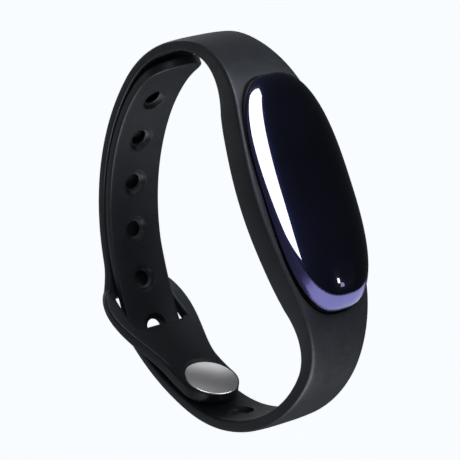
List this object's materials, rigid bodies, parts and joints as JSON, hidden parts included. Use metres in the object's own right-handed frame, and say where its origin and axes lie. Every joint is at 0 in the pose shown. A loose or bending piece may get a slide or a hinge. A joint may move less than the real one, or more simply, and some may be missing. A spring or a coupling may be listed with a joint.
{
  "type": "fitness tracker band",
  "caption": "Soft wrist strap with a stud-and-slot fastening that carries a removable oblong activity tracker capsule.",
  "frame": {"origin": "centre of the wrist opening, in the middle of the strap's width", "axes": "+Y runs through the wrist opening, across the strap; X and Z lie in the plane of the closed ring; the capsule faces towards +X and +Z, and the stud fastening is at the bottom, towards -Z"},
  "size_m": [0.0584, 0.02, 0.0664],
  "materials": {
    "strap_silicone": "satin moulded silicone",
    "button_steel": "satin domed steel",
    "lens_cover": "polished tinted cover",
    "trim_violet": "polished dyed ring",
    "shell_plastic": "fine moulded texture",
    "seal_rubber": "matte seal",
    "display_glass": "polished display glass",
    "bracket_plastic": "matte moulding",
    "flex_film": "amber film",
    "board_laminate": "solder mask",
    "chip_plastic": "moulded package",
    "can_steel": "pressed tinned steel",
    "ceramic": "fired ceramic",
    "led_lens": "clear moulding",
    "cell_foil": "embossed pouch foil",
    "tape": "adhesive foam tape",
    "tab_nickel": "nickel strip",
    "pin_gold": "gold plated",
    "motor_steel": "drawn steel",
    "magnet": "nickel plated magnet",
    "rotor_metal": "sintered tungsten and copper"
  },
  "bodies": {
    "strap": {"strap_body": "strap_silicone"},
    "tab": {"strap_tab": "strap_silicone", "stud_button": "button_steel", "stud_head": "button_steel"},
    "tail": {"strap_tail": "strap_silicone"},
    "tracker": {"lens": "lens_cover", "trim_ring": "trim_violet", "base_shell": "shell_plastic", "case_gasket": "seal_rubber", "display_panel": "display_glass", "display_bracket": "bracket_plastic", "display_flex": "flex_film", "main_board": "board_laminate", "bluetooth_chip": "chip_plastic", "shield_can": "can_steel", "power_chip": "chip_plastic", "memory_chip": "chip_plastic", "accelerometer": "chip_plastic", "crystal": "can_steel", "chip_antenna": "ceramic", "status_led": "led_lens", "chip_capacitors": "ceramic", "touch_electrode": "pin_gold", "battery": "cell_foil", "battery_tape": "tape", "battery_tabs": "tab_nickel", "charge_pins": "pin_gold", "motor_case": "motor_steel", "motor_cover": "motor_steel", "motor_shaft": "motor_steel", "motor_magnet": "magnet"},
    "rotor": {"motor_rotor": "rotor_metal"}
  },
  "joints": [
    {"name": "tab_bend", "type": "hinge", "parent": "strap", "child": "tab", "pos_m": [-0.01394, 0, -0.02222], "axis": [0, -1, 0], "range_deg": [0, 40], "stiffness_Nm_per_rad": 0.006},
    {"name": "tail_bend", "type": "hinge", "parent": "strap", "child": "tail", "pos_m": [-0.02011, 0, -0.01766], "axis": [0, 1, 0], "range_deg": [0, 18], "stiffness_Nm_per_rad": 0.0035},
    {"name": "capsule_slide", "type": "slide", "parent": "strap", "child": "tracker", "axis": [0.8878, 0, 0.4602], "range_m": [0, 0.012]},
    {"name": "motor_spin", "type": "hinge", "parent": "tracker", "child": "rotor", "pos_m": [0.0244, 0, 0.00018], "axis": [0.8878, 0, 0.4602], "continuous": true}
  ]
}
